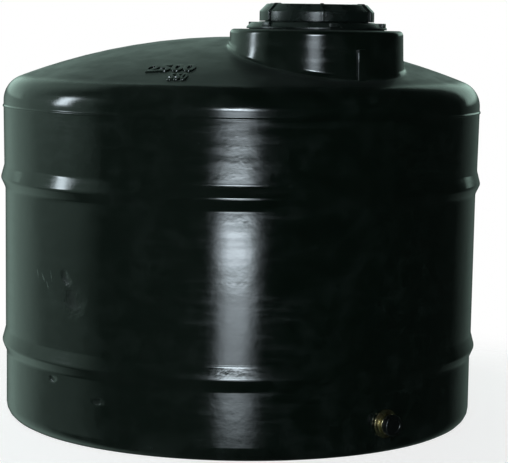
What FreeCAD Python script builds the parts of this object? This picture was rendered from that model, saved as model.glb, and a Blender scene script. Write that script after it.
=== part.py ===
import FreeCAD, Part
import math
import os
import re
import Sketcher
from FreeCAD import Placement, Rotation, Vector

# Upright round water tank moulded from polyethylene, in millimetres.
# Origin on the ground under the tank's axis, +Z up, and the front looks along -Y.

# Driving sizes
SIZES = {
    # Moulded shell
    "skin": 7.0,
    "parting_height": 1074.0,
    "parting_radius": 825.0,
    "parting_ridge_depth": 3.0,
    "parting_ridge_height": 9.0,
    "top_draft": 3.0,
    "upper_rib_step": 4.0,
    "middle_draft": 2.0,
    "lower_rib_step": 3.0,
    "base_corner": 50.0,
    "base_rim": 15.0,
    # Ribs moulded round the wall
    "upper_rib_height": 831.0,
    "lower_rib_height": 266.0,
    "rib_depth": 12.0,
    "rib_over": 44.0,
    "rib_under": 34.0,
    "rib_crest_round": 16.0,
    "rib_foot_round": 30.0,
    # Shoulder and dome
    "shoulder_rise": 118.0,
    "shoulder_round": 88.0,
    "shoulder_rim": 4.0,
    "dome_rise": 131.0,
    # Manway drum on the front right of the dome
    "drum_turn": 28.4,
    "drum_margin": 5.4,
    "drum_rise": 160.0,
    "drum_overrun": 50.0,
    "drum_radius": 284.0,
    "drum_flare": 6.0,
    "drum_round": 14.0,
    # Upright strip moulded on the drum
    "strip_turn": 22.5,
    "strip_width": 30.0,
    "strip_depth": 4.0,
    "strip_drop": 58.0,
    # Neck ring, its screw pads and its gasket
    "gasket_thickness": 2.0,
    "gasket_inset": 8.0,
    "ring_width": 61.0,
    "ring_thickness": 20.0,
    "ring_edge": 6.0,
    "ring_bevel": 16.0,
    "pad_count": 6.0,
    "pad_turn": 7.0,
    "pad_width": 34.0,
    "pad_length": 32.0,
    "pad_rise": 1.5,
    "neck_bore": 162.0,
    "neck_wall": 7.0,
    "neck_rise": 50.0,
    # Screw lid
    "seat_gap": 0.3,
    "lid_seal_thickness": 3.0,
    "seal_rib_drop": 22.0,
    "lid_clearance": 13.0,
    "lid_wall": 6.0,
    "lid_ring_gap": 5.0,
    "lid_top_thickness": 6.0,
    "lid_bevel": 24.0,
    "grip_count": 6.0,
    "grip_turn": -1.6,
    "grip_width": 12.0,
    "grip_depth": 6.0,
    "grip_rise": 2.5,
    "grip_run": 20.0,
    # Outlet connector low on the front right
    "outlet_turn": 30.3,
    "outlet_height": 106.0,
    "outlet_pad_radius": 52.0,
    "outlet_pad_depth": 2.5,
    "outlet_seal_radius": 43.0,
    "outlet_seal_thickness": 4.0,
    "outlet_flange_radius": 46.0,
    "outlet_flange_thickness": 6.0,
    "outlet_hub_radius": 33.0,
    "outlet_hub_length": 16.0,
    "outlet_bore": 22.0,
    "outlet_tube_radius": 29.0,
    "outlet_tube_inside": 42.0,
    "outlet_tube_outside": 44.0,
    "outlet_fit": 0.05,
    "back_nut_radius": 43.0,
    "back_nut_thickness": 14.0,
    "cap_radius": 35.0,
    "cap_length": 22.0,
    "cap_top_thickness": 6.0,
    "cap_round": 4.0,
}

WALL_NAMES = (
    "wall_right",
    "wall_back_right",
    "wall_back",
    "wall_back_left",
    "wall_left",
    "wall_front_left",
    "wall_front",
    "wall_front_right",
)
HEX_SIDES = 6
FRONT = -90.0

# How a sketch numbers a line's ends and its own axes, whose level one starts at the origin
LINE_START = 1
LINE_END = 2
LEVEL_AXIS = -1
UPRIGHT_AXIS = -2

# How far apart two places may be and still count as the same
SAME_PLACE = 0.01

# Sizes worked out from the driving ones
OVER_UPPER = "(parting_radius - top_draft)"
UNDER_UPPER = f"({OVER_UPPER} - upper_rib_step)"
OVER_LOWER = f"({UNDER_UPPER} - middle_draft)"
UNDER_LOWER = f"({OVER_LOWER} - lower_rib_step)"
FLOOR_RADIUS = f"({UNDER_LOWER} - base_corner - base_rim)"
CREST = "(parting_height + shoulder_rise)"
DOME_RADIUS = "(parting_radius - shoulder_round - shoulder_rim)"
DOME_CURVE = f"(({DOME_RADIUS} ^ 2 + dome_rise ^ 2) / (2 * dome_rise))"
DOME_LIFT = f"sqrt({DOME_CURVE} ^ 2 - {DOME_RADIUS} ^ 2)"
DOME_SLOPE = f"({DOME_RADIUS} / {DOME_LIFT})"
SEAM_DEPTH = f"(skin * {DOME_CURVE} / {DOME_LIFT})"
EDGE_HEIGHT = f"({CREST} - (parting_radius - {DOME_RADIUS}) * {DOME_SLOPE})"
INNER_EDGE_HEIGHT = f"({CREST} - {SEAM_DEPTH} - (parting_radius - skin - {DOME_RADIUS}) * {DOME_SLOPE})"
DRUM_TOP = f"({CREST} + drum_rise)"
DRUM_DEPTH = "(drum_rise + drum_overrun)"
DRUM_FOOT = "(drum_radius + drum_flare)"
DRUM_REACH = f"({DOME_RADIUS} - drum_margin - {DRUM_FOOT})"
NECK_BASE = f"({DRUM_TOP} + gasket_thickness)"
NECK_OUTSIDE = "(neck_bore + neck_wall)"
RING_RADIUS = f"({NECK_OUTSIDE} + ring_width)"
LID_INSIDE = f"({NECK_OUTSIDE} + lid_clearance)"
LID_OUTSIDE = f"({LID_INSIDE} + lid_wall)"
LID_FOOT = "(ring_thickness + lid_ring_gap)"
LID_SEAT = "(neck_rise + seat_gap + lid_seal_thickness)"
LID_UNDERSIDE = f"({LID_SEAT} + seal_rib_drop)"
LID_TOP = f"({LID_UNDERSIDE} + lid_top_thickness)"
PAD_THICKNESS = "(skin + 2 * outlet_pad_depth)"
OUTLET_FIT = "(outlet_tube_radius + outlet_fit)"

doc = FreeCAD.newDocument("water_tank")
sheet = doc.addObject("Spreadsheet::Sheet", "Sizes")


def fill_sheet():
    """Write each driving size in a cell of its own and give the cell its name."""
    for row, (name, size) in enumerate(SIZES.items(), start=1):
        sheet.set(f"A{row}", name)
        sheet.set(f"B{row}", str(size))
        sheet.setAlias(f"B{row}", name)
    doc.recompute()


def bound(text):
    """The expression with every size's name pointing at its cell."""
    return re.sub(r"[a-z_]+", lambda word: f"Sizes.{word[0]}" if word[0] in SIZES else word[0], text)


def number(text):
    """What an expression in the sizes comes to."""
    return float(sheet.evalExpression(bound(text)))


def origin_part(body, role):
    """The body's own origin plane or axis with the given role."""
    for part in body.Origin.OriginFeatures:
        if part.Role == role:
            return part
    raise LookupError(role)


def new_sketch(body, name, role):
    sketch = body.newObject("Sketcher::SketchObject", name)
    sketch.AttachmentSupport = (origin_part(body, role), [""])
    sketch.MapMode = "FlatFace"
    return sketch


def pin(sketch, line, end, across, up):
    """Hold one end of a line at the place that two expressions give."""
    for kind, axis, text in (("DistanceX", UPRIGHT_AXIS, across), ("DistanceY", LEVEL_AXIS, up)):
        if text == "0":
            sketch.addConstraint(Sketcher.Constraint("PointOnObject", line, end, axis))
        else:
            distance = Sketcher.Constraint(kind, LEVEL_AXIS, LINE_START, line, end, number(text))
            held = sketch.addConstraint(distance)
            sketch.setExpression(f"Constraints[{held}]", bound(text))


def outline(body, name, corners, role="XZ_Plane"):
    """Closed outline of straight lines through corners given as expressions."""
    sketch = new_sketch(body, name, role)
    points = [Vector(number(across), number(up), 0) for across, up in corners]
    for start, end in zip(points, points[1:] + points[:1]):
        sketch.addGeometry(Part.LineSegment(start, end))
    last = len(corners) - 1
    for line, (across, up) in enumerate(corners):
        before = line - 1 if line else last
        sketch.addConstraint(Sketcher.Constraint("Coincident", before, LINE_END, line, LINE_START))
        pin(sketch, line, LINE_START, across, up)
    return sketch


def spin(body, sketch, angle="360"):
    """Turn a sketch about its upright axis, half to each side."""
    turned = body.newObject("PartDesign::Revolution", f"{body.Name}_turned")
    turned.Profile = sketch
    turned.ReferenceAxis = (sketch, ["V_Axis"])
    turned.Midplane = True
    turned.setExpression("Angle", bound(angle))
    doc.recompute()
    return turned


def ring_edges(shape, places):
    """Names of the round edges about the upright axis at the given radius and height."""
    wanted = [Vector(number(radius), 0, number(height)) for radius, height in places]
    names = []
    for index, edge in enumerate(shape.Edges, start=1):
        if not isinstance(edge.Curve, Part.Circle):
            continue
        found = Vector(edge.Curve.Radius, 0, edge.Curve.Center.z)
        if any(found.distanceToPoint(place) < SAME_PLACE for place in wanted):
            names.append(f"Edge{index}")
    return names


def round_rings(body, name, radius, places):
    """Fillet the round edges at the given places."""
    base = body.Tip
    fillet = body.newObject("PartDesign::Fillet", f"{body.Name}_{name}")
    fillet.Base = (base, ring_edges(base.Shape, places))
    fillet.setExpression("Radius", bound(radius))
    doc.recompute()
    return fillet


def cylinder(body, kind, name, radius, height, placement):
    """Add or take away a cylinder inside a body."""
    feature = body.newObject(f"PartDesign::{kind}Cylinder", f"{body.Name}_{name}")
    feature.setExpression("Radius", bound(radius))
    feature.setExpression("Height", bound(height))
    feature.Placement = placement
    doc.recompute()
    return feature


def turned_body(name, corners):
    """Body of revolution about its own upright axis."""
    body = doc.addObject("PartDesign::Body", name)
    spin(body, outline(body, f"{name}_outline", corners))
    return body


def upright_pad(body, name, corners, width):
    """Outline in the upright plane made solid, half its width to each side."""
    pad = body.newObject("PartDesign::Pad", f"{body.Name}_{name}")
    pad.Profile = outline(body, f"{body.Name}_{name}_outline", corners)
    pad.Midplane = True
    pad.setExpression("Length", bound(width))
    doc.recompute()
    return pad


def repeat_round(body, name, feature, count):
    """Repeat a feature evenly round the body's upright axis."""
    pattern = body.newObject("PartDesign::PolarPattern", f"{body.Name}_{name}")
    pattern.Originals = [feature]
    pattern.Axis = (origin_part(body, "Z_Axis"), [""])
    pattern.Angle = 360
    pattern.setExpression("Occurrences", bound(count))
    body.Tip = pattern
    doc.recompute()


# Places shared by several pieces


def neck_place(height, turn=None):
    """A point on the manway's axis, with X to the right, or turned from the front by an expression."""
    heading = math.radians(FRONT + number("drum_turn"))
    reach = number(DRUM_REACH)
    centre = Vector(reach * math.cos(heading), reach * math.sin(heading), number(height))
    angle = FRONT + number(turn) if turn else 0
    return Placement(centre, Rotation(Vector(0, 0, 1), angle))


def outlet_place(depth="0"):
    """A point on the outlet's axis, measured outwards from the pad's face, with Z pointing out."""
    heading = math.radians(FRONT + number("outlet_turn"))
    outward = Vector(math.cos(heading), math.sin(heading), 0)
    reach = number(f"{UNDER_LOWER} + outlet_pad_depth + {depth}")
    base = outward * reach + Vector(0, 0, number("outlet_height"))
    return Placement(base, Rotation(Vector(0, 0, 1), outward))


# Wall


def wall_corners():
    """Section of the wall from the floor's edge up to the parting line."""
    outside = [
        (FLOOR_RADIUS, "0"),
        (UNDER_LOWER, "0"),
        (UNDER_LOWER, "lower_rib_height - rib_under"),
        (f"{OVER_LOWER} + rib_depth", "lower_rib_height"),
        (OVER_LOWER, "lower_rib_height + rib_over"),
        (UNDER_UPPER, "upper_rib_height - rib_under"),
        (f"{OVER_UPPER} + rib_depth", "upper_rib_height"),
        (OVER_UPPER, "upper_rib_height + rib_over"),
        ("parting_radius", "parting_height"),
    ]
    inside = [(f"{across} - skin", up) for across, up in reversed(outside[2:])]
    return outside + inside + [(f"{UNDER_LOWER} - skin", "skin"), (FLOOR_RADIUS, "skin")]


def rib_rounds(body):
    """Round the ribs' crests and feet, outside and inside."""
    crests = []
    feet = []
    for height, under, over in (
        ("upper_rib_height", UNDER_UPPER, OVER_UPPER),
        ("lower_rib_height", UNDER_LOWER, OVER_LOWER),
    ):
        crests.append((f"{over} + rib_depth", height))
        feet.append((over, f"{height} + rib_over"))
        feet.append((under, f"{height} - rib_under"))
    inner_crests = [(f"{across} - skin", up) for across, up in crests]
    inner_feet = [(f"{across} - skin", up) for across, up in feet]
    round_rings(body, "crests", "rib_crest_round", crests)
    round_rings(body, "feet", "rib_foot_round", feet)
    round_rings(body, "inner_crests", "rib_crest_round - skin", inner_crests)
    round_rings(body, "inner_feet", "rib_foot_round + skin", inner_feet)


def build_walls():
    share = 360.0 / len(WALL_NAMES)
    for index, name in enumerate(WALL_NAMES):
        body = doc.addObject("PartDesign::Body", name)
        spin(body, outline(body, f"{name}_outline", wall_corners()), f"{share}")
        round_rings(body, "base", "base_corner", [(UNDER_LOWER, "0")])
        round_rings(body, "inner_base", "base_corner - skin", [(f"{UNDER_LOWER} - skin", "skin")])
        rib_rounds(body)
        turn = Rotation(Vector(0, 0, 1), share * index)
        if name == "wall_front_right":
            add_outlet_pad(body, turn)
        body.Placement = Placement(Vector(), turn)


def add_outlet_pad(body, turn):
    """Thicken the wall to a flat pad on both faces and bore it for the outlet."""
    place = Placement(Vector(), turn).inverse() * outlet_place(f"-{PAD_THICKNESS}")
    cylinder(body, "Additive", "pad", "outlet_pad_radius", PAD_THICKNESS, place)
    cylinder(body, "Subtractive", "hole", OUTLET_FIT, PAD_THICKNESS, place)


def build_floor():
    turned_body("tank_floor", [
        ("0", "0"),
        (FLOOR_RADIUS, "0"),
        (FLOOR_RADIUS, "skin"),
        ("0", "skin"),
    ])


# Roof


def build_shoulder():
    """Rolled edge that runs from the ridge at the parting line up and inwards to meet the dome."""
    body = turned_body("shoulder", [
        ("parting_radius + parting_ridge_depth", "parting_height"),
        ("parting_radius + parting_ridge_depth", "parting_height + parting_ridge_height / 2"),
        ("parting_radius", "parting_height + parting_ridge_height"),
        ("parting_radius", EDGE_HEIGHT),
        (DOME_RADIUS, CREST),
        (DOME_RADIUS, f"{CREST} - {SEAM_DEPTH}"),
        ("parting_radius - skin", INNER_EDGE_HEIGHT),
        ("parting_radius - skin", "parting_height"),
    ])
    round_rings(body, "edge", "shoulder_round", [("parting_radius", EDGE_HEIGHT)])
    round_rings(body, "inner_edge", "shoulder_round - skin", [("parting_radius - skin", INNER_EDGE_HEIGHT)])


def dome_sphere(name, radius):
    """Ball whose top is a skin of the dome."""
    ball = doc.addObject("Part::Sphere", name)
    ball.setExpression("Radius", bound(radius))
    ball.setExpression("Placement.Base.z", bound(f"{CREST} + dome_rise - {DOME_CURVE}"))
    return ball


def drum_envelope():
    """Outside of the manway drum and its strip as one filled piece."""
    cone = doc.addObject("Part::Cone", "drum_cone")
    cone.setExpression("Radius1", bound(DRUM_FOOT))
    cone.setExpression("Radius2", bound("drum_radius"))
    cone.setExpression("Height", bound(DRUM_DEPTH))
    cone.Placement = neck_place(f"{DRUM_TOP} - {DRUM_DEPTH}")
    strip = doc.addObject("Part::Box", "drum_strip")
    strip.Placement = neck_place(DRUM_TOP) * shape_strip(strip)
    envelope = doc.addObject("Part::Fuse", "drum_envelope")
    envelope.Base = cone
    envelope.Tool = strip
    return envelope


def shape_strip(box):
    """Size the upright strip on the drum's front right and give its place under the drum's top."""
    box.setExpression("Length", bound("drum_flare + strip_depth"))
    box.setExpression("Width", bound("strip_width"))
    box.setExpression("Height", bound(f"{DRUM_DEPTH} - strip_drop"))
    turn = Rotation(Vector(0, 0, 1), FRONT + number("strip_turn"))
    corner = Vector(number("drum_radius"), -number("strip_width") / 2, -number(DRUM_DEPTH))
    return Placement(turn.multVec(corner), turn)


def build_dome():
    """Shallow dome inside the shoulder's crest, open under the manway drum."""
    disc = doc.addObject("Part::Cylinder", "dome_disc")
    disc.setExpression("Radius", bound(DOME_RADIUS))
    disc.setExpression("Height", bound("dome_rise + 2 * skin"))
    disc.setExpression("Placement.Base.z", bound(f"{CREST} - 2 * skin"))
    cap = doc.addObject("Part::Common", "dome_cap")
    cap.Base = dome_sphere("dome_outside", DOME_CURVE)
    cap.Tool = disc
    shell = doc.addObject("Part::Cut", "dome_shell")
    shell.Base = cap
    shell.Tool = dome_sphere("dome_inside", f"{DOME_CURVE} - skin")
    dome = doc.addObject("Part::Cut", "dome")
    dome.Base = shell
    dome.Tool = drum_envelope()


def build_drum():
    """Short round drum that carries the neck, its foot cut to the dome's underside."""
    body = turned_body("drum_body", [
        (DRUM_FOOT, f"-{DRUM_DEPTH}"),
        ("drum_radius", "0"),
        ("neck_bore", "0"),
        ("neck_bore", "-skin"),
        ("drum_radius - skin", "-skin"),
        (f"{DRUM_FOOT} - skin", f"-{DRUM_DEPTH}"),
    ])
    round_rings(body, "edge", "drum_round", [("drum_radius", "0")])
    round_rings(body, "inner_edge", "drum_round - skin", [("drum_radius - skin", "-skin")])
    strip = body.newObject("PartDesign::AdditiveBox", "drum_body_strip")
    strip.Placement = shape_strip(strip)
    body.Placement = neck_place(DRUM_TOP)
    drum = doc.addObject("Part::Cut", "manway_drum")
    drum.Base = body
    drum.Tool = dome_sphere("drum_trim", f"{DOME_CURVE} - skin")


# Neck and lid


def build_neck():
    turned_body("neck_gasket", [
        ("neck_bore", "0"),
        (f"{RING_RADIUS} - gasket_inset", "0"),
        (f"{RING_RADIUS} - gasket_inset", "gasket_thickness"),
        ("neck_bore", "gasket_thickness"),
    ]).Placement = neck_place(DRUM_TOP)
    ring = turned_body("neck_ring", [
        ("neck_bore", "0"),
        (RING_RADIUS, "0"),
        (RING_RADIUS, "ring_edge"),
        (f"{RING_RADIUS} - ring_bevel", "ring_thickness"),
        (NECK_OUTSIDE, "ring_thickness"),
        (NECK_OUTSIDE, "neck_rise"),
        ("neck_bore", "neck_rise"),
    ])
    pad = upright_pad(ring, "pad", [
        (f"{RING_RADIUS} - pad_length", "ring_edge"),
        (RING_RADIUS, "ring_edge"),
        (RING_RADIUS, "ring_thickness + pad_rise"),
        (f"{RING_RADIUS} - pad_length", "ring_thickness + pad_rise"),
    ], "pad_width")
    repeat_round(ring, "pads", pad, "pad_count")
    ring.Placement = neck_place(NECK_BASE, "pad_turn")


def build_lid():
    """Screw lid whose skirt hangs round the neck, with grip ribs that run up over its bevelled rim."""
    turned_body("lid_seal", [
        ("neck_bore", "0"),
        (NECK_OUTSIDE, "0"),
        (NECK_OUTSIDE, "lid_seal_thickness"),
        ("neck_bore", "lid_seal_thickness"),
    ]).Placement = neck_place(f"{NECK_BASE} + neck_rise + seat_gap")
    # Across and up add to one sum all along the inside of a bevel at 45 degrees.
    slope = f"{LID_TOP} - lid_bevel + {LID_OUTSIDE} - lid_wall * sqrt(2)"
    lid = turned_body("lid", [
        (LID_INSIDE, LID_FOOT),
        (LID_OUTSIDE, LID_FOOT),
        (LID_OUTSIDE, f"{LID_TOP} - lid_bevel"),
        (f"{LID_OUTSIDE} - lid_bevel", LID_TOP),
        ("0", LID_TOP),
        ("0", LID_UNDERSIDE),
        ("neck_bore - lid_wall", LID_UNDERSIDE),
        ("neck_bore - lid_wall", LID_SEAT),
        (NECK_OUTSIDE, LID_SEAT),
        (NECK_OUTSIDE, f"{slope} - {NECK_OUTSIDE}"),
        (LID_INSIDE, f"{slope} - {LID_INSIDE}"),
    ])
    grip = upright_pad(lid, "grip", [
        (f"{LID_OUTSIDE} - lid_wall / 2", LID_FOOT),
        (f"{LID_OUTSIDE} + grip_depth", LID_FOOT),
        (f"{LID_OUTSIDE} + grip_depth", f"{LID_TOP} - lid_bevel"),
        (f"{LID_OUTSIDE} - lid_bevel + grip_depth - grip_rise", f"{LID_TOP} + grip_rise"),
        (f"{LID_OUTSIDE} - lid_bevel - grip_run", f"{LID_TOP} + grip_rise"),
        (f"{LID_OUTSIDE} - lid_bevel - grip_run", f"{LID_TOP} - lid_wall / 2"),
        (f"{LID_OUTSIDE} - lid_bevel", f"{LID_TOP} - lid_wall / 2"),
        (f"{LID_OUTSIDE} - lid_wall / 2", f"{LID_TOP} - lid_bevel"),
    ], "grip_width")
    repeat_round(lid, "grips", grip, "grip_count")
    lid.Placement = neck_place(NECK_BASE, "grip_turn")


# Outlet


def build_outlet():
    seal = [
        (OUTLET_FIT, "0"),
        ("outlet_seal_radius", "0"),
        ("outlet_seal_radius", "outlet_seal_thickness"),
        (OUTLET_FIT, "outlet_seal_thickness"),
    ]
    inner = outlet_place(f"-{PAD_THICKNESS} - outlet_seal_thickness")
    turned_body("outlet_outer_seal", seal).Placement = outlet_place()
    turned_body("outlet_inner_seal", seal).Placement = inner
    turned_body("outlet_tube", [
        ("outlet_bore", "-outlet_tube_inside"),
        ("outlet_tube_radius", "-outlet_tube_inside"),
        ("outlet_tube_radius", "outlet_tube_outside"),
        ("outlet_bore", "outlet_tube_outside"),
    ]).Placement = outlet_place()
    build_outlet_flange()
    build_back_nut()
    build_cap()


def hex_nut(name, radius, thickness, bore, placement):
    """Hexagon bar with a bore along it."""
    bar = doc.addObject("Part::Prism", f"{name}_bar")
    bar.Polygon = HEX_SIDES
    bar.setExpression("Circumradius", bound(radius))
    bar.setExpression("Height", bound(thickness))
    bar.Placement = placement
    hole = doc.addObject("Part::Cylinder", f"{name}_hole")
    hole.setExpression("Radius", bound(bore))
    hole.setExpression("Height", bound(thickness))
    hole.Placement = placement
    nut = doc.addObject("Part::Cut", name)
    nut.Base = bar
    nut.Tool = hole
    return nut


def build_outlet_flange():
    """Brass flange against the outer seal, with the round hub that the tube passes through."""
    turned_body("outlet_flange", [
        (OUTLET_FIT, "0"),
        ("outlet_flange_radius", "0"),
        ("outlet_flange_radius", "outlet_flange_thickness"),
        ("outlet_hub_radius", "outlet_flange_thickness"),
        ("outlet_hub_radius", "outlet_flange_thickness + outlet_hub_length"),
        (OUTLET_FIT, "outlet_flange_thickness + outlet_hub_length"),
    ]).Placement = outlet_place("outlet_seal_thickness")


def build_back_nut():
    hex_nut("outlet_back_nut", "back_nut_radius", "back_nut_thickness", OUTLET_FIT,
            outlet_place(f"-{PAD_THICKNESS} - outlet_seal_thickness - back_nut_thickness"))


def build_cap():
    """Black cap screwed over the end of the tube."""
    cap = turned_body("outlet_cap", [
        (OUTLET_FIT, "0"),
        ("cap_radius", "0"),
        ("cap_radius", "cap_length"),
        ("0", "cap_length"),
        ("0", "cap_length - cap_top_thickness"),
        (OUTLET_FIT, "cap_length - cap_top_thickness"),
    ])
    round_rings(cap, "edge", "cap_round", [("cap_radius", "cap_length")])
    cap.Placement = outlet_place("outlet_tube_outside + seat_gap + cap_top_thickness - cap_length")


NODES = WALL_NAMES + (
    "tank_floor", "shoulder", "dome", "manway_drum", "neck_gasket", "neck_ring", "lid_seal", "lid",
    "outlet_outer_seal", "outlet_inner_seal", "outlet_tube", "outlet_flange", "outlet_back_nut", "outlet_cap",
)


def main():
    fill_sheet()
    build_walls()
    build_floor()
    build_shoulder()
    build_dome()
    build_drum()
    build_neck()
    build_lid()
    build_outlet()
    doc.recompute()
    for thing in doc.Objects:
        if "Invalid" in thing.State or "Error" in thing.State:
            raise RuntimeError(f"{thing.Name} failed: {thing.State}")
    os.makedirs("parts", exist_ok=True)
    for name in NODES:
        shape = doc.getObject(name).Shape
        if shape.isNull() or not shape.isValid():
            raise RuntimeError(f"{name} has no valid shape")
        print(name, len(shape.Solids), round(shape.Volume / 1000.0, 1), "cm3")
        shape.exportStep(f"parts/{name}.step")


main()
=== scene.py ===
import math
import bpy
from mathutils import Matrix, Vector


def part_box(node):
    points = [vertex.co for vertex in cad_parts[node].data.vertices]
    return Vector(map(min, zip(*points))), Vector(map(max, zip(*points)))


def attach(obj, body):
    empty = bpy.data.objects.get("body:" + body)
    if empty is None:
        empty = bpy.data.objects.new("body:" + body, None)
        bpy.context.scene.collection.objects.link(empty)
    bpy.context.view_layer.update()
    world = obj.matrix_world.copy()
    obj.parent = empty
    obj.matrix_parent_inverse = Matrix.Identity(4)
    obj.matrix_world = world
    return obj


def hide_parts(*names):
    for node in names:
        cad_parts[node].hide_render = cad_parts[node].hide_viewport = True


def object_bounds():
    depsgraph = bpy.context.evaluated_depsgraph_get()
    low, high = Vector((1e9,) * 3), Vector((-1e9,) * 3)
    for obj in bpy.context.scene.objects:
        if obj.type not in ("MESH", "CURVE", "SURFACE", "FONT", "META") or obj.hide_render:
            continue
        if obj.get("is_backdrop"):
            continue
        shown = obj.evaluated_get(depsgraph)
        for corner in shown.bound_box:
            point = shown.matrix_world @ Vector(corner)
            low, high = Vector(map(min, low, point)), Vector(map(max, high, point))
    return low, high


bl_info = {
    "name": "Round Water Tank",
    "version": (1, 0, 0),
    "blender": (4, 5, 0),
    "location": "View3D > Sidebar > Water Tank",
    "description": "Dresses the packed round water tank with its finished pieces, finishes and stage",
    "category": "Object",
}

import bmesh
import bpy
from bpy.props import FloatProperty, FloatVectorProperty, IntProperty, PointerProperty
from mathutils import Matrix, Vector

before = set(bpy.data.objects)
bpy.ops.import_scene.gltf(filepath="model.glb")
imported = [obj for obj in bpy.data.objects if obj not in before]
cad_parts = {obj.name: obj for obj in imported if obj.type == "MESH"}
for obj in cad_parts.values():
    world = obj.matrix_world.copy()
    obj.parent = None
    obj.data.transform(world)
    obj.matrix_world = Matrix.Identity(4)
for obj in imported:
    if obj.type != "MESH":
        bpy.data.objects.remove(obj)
CAD_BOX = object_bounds()

TURN = 2 * math.pi
ORIGIN = Vector((0, 0, 0))
CLOSE = 1e-5
VERY_CLOSE = 1e-6


def middle(node):
    """Centre of a CAD node's box."""
    low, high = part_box(node)
    return (low + high) / 2


def under(node):
    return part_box(node)[0].z


def top(node):
    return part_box(node)[1].z


def length(name, default, description):
    """A size in metres that the user can set."""
    return FloatProperty(
        name=name, description=description, default=default, min=0.0, max=10.0,
        unit="LENGTH", subtype="DISTANCE", precision=4,
    )


def bearing(name, degrees, description):
    """An angle that the user can set."""
    return FloatProperty(
        name=name, description=description, default=math.radians(degrees), unit="ROTATION", subtype="ANGLE",
    )


def number(name, default, description, low=1):
    """A number of like things that the user can set."""
    return IntProperty(name=name, description=description, default=default, min=low, max=400)


def spot(name, default, description):
    """A place on the ground plan that the user can set."""
    return FloatVectorProperty(name=name, description=description, default=default, size=2, unit="LENGTH")


def tint(name, default, description):
    """A colour that the user can set."""
    return FloatVectorProperty(
        name=name, description=description, default=default, size=3, min=0.0, max=1.0, subtype="COLOR",
    )


class TankSizes(bpy.types.PropertyGroup):
    segments: number("Segments", 288, "Faces round the moulded tank", 48)
    skin: length("Skin", 0.007, "Thickness of the moulding")
    parting_height: length("Parting height", top("wall_front"), "Height of the parting line")
    parting_radius: length("Parting radius", 0.825, "Radius of the wall at the parting line")
    ridge_depth: length("Parting ridge depth", 0.003, "How far the parting ridge stands proud")
    ridge_height: length("Parting ridge height", 0.009, "Height of the parting ridge")
    over_upper: length("Radius over upper rib", 0.822, "Wall radius just over the upper rib")
    under_upper: length("Radius under upper rib", 0.818, "Wall radius just under the upper rib")
    over_lower: length("Radius over lower rib", 0.816, "Wall radius just over the lower rib")
    under_lower: length("Radius under lower rib", 0.813, "Wall radius just under the lower rib")
    upper_rib: length("Upper rib height", 0.831, "Height of the upper rib's crest")
    lower_rib: length("Lower rib height", 0.266, "Height of the lower rib's crest")
    rib_depth: length("Rib depth", 0.0119, "How far a rib stands proud of the wall over it")
    rib_over: length("Rib slope over", 0.044, "Height of a rib's upper slope")
    rib_under: length("Rib slope under", 0.034, "Height of a rib's lower slope")
    rib_crest_round: length("Rib crest round", 0.016, "Rounding of a rib's crest")
    rib_foot_round: length("Rib foot round", 0.030, "Rounding where a rib meets the wall")
    base_corner: length("Base corner", 0.050, "Rounding at the foot of the wall")
    shoulder_round: length("Shoulder round", 0.088, "Rounding of the shoulder")
    crest: length("Crest height", 1.192, "Height of the dome's edge")
    crest_radius: length("Crest radius", 0.733, "Radius of the dome's edge")
    dome_rise: length("Dome rise", 0.131, "Rise of the dome over its edge")
    drum_radius: length("Drum radius", 0.284, "Radius of the manway drum at its top")
    drum_flare: length("Drum flare", 0.006, "How much wider the drum is at its foot")
    drum_depth: length("Drum depth", 0.210, "Height over which the drum flares")
    drum_foot_drop: length("Drum foot drop", 0.140, "How far under its top the drum's foot radius is taken")
    drum_round: length("Drum edge round", 0.014, "Rounding of the drum's top edge")
    drum_foot_round: length("Drum foot round", 0.018, "Rounding where the drum meets the dome")
    neck_bore: length("Neck bore", 0.162, "Radius of the way in")


class TrimSizes(bpy.types.PropertyGroup):
    strip_turn: bearing("Strip turn", 22.5, "Turn of the drum's strip from the front")
    strip_width: length("Strip width", 0.030, "Width of the drum's strip")
    strip_length: length("Strip length", 0.116, "Length of the strip")
    strip_drop: length("Strip drop", 0.058, "How far the strip starts under the drum's top")
    strip_depth: length("Strip depth", 0.0145, "Depth of the strip, with what is sunk in the drum")
    strip_proud: length("Strip stand-out", 0.00975, "How far the strip's face stands out from the drum")
    strip_round: length("Strip round", 0.0035, "Rounding of the strip's edges")
    litres_spot: spot("Litres spot", (-0.277, -0.580), "Where the litres stand on the dome")
    litres_height: length("Litres height", 0.078, "Height of the letters in the upper row")
    gallons_spot: spot("Gallons spot", (-0.262, -0.666), "Where the gallons stand on the dome")
    gallons_height: length("Gallons height", 0.066, "Height of the letters in the lower row")
    gallons_narrowing: FloatProperty(
        name="Gallons narrowing", description="Width of the lower row against plain letters", default=0.62,
    )
    figure_turn: bearing("Figure turn", -18.0, "Turn of the figures from the front")
    figure_rise: length("Figure rise", 0.0032, "How far the figures stand over the dome")
    figure_edge: length("Figure edge", 0.0010, "Rounding of the figures' edges")
    figure_weight: length("Figure weight", 0.0022, "How much bolder the figures are than plain letters")


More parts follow.
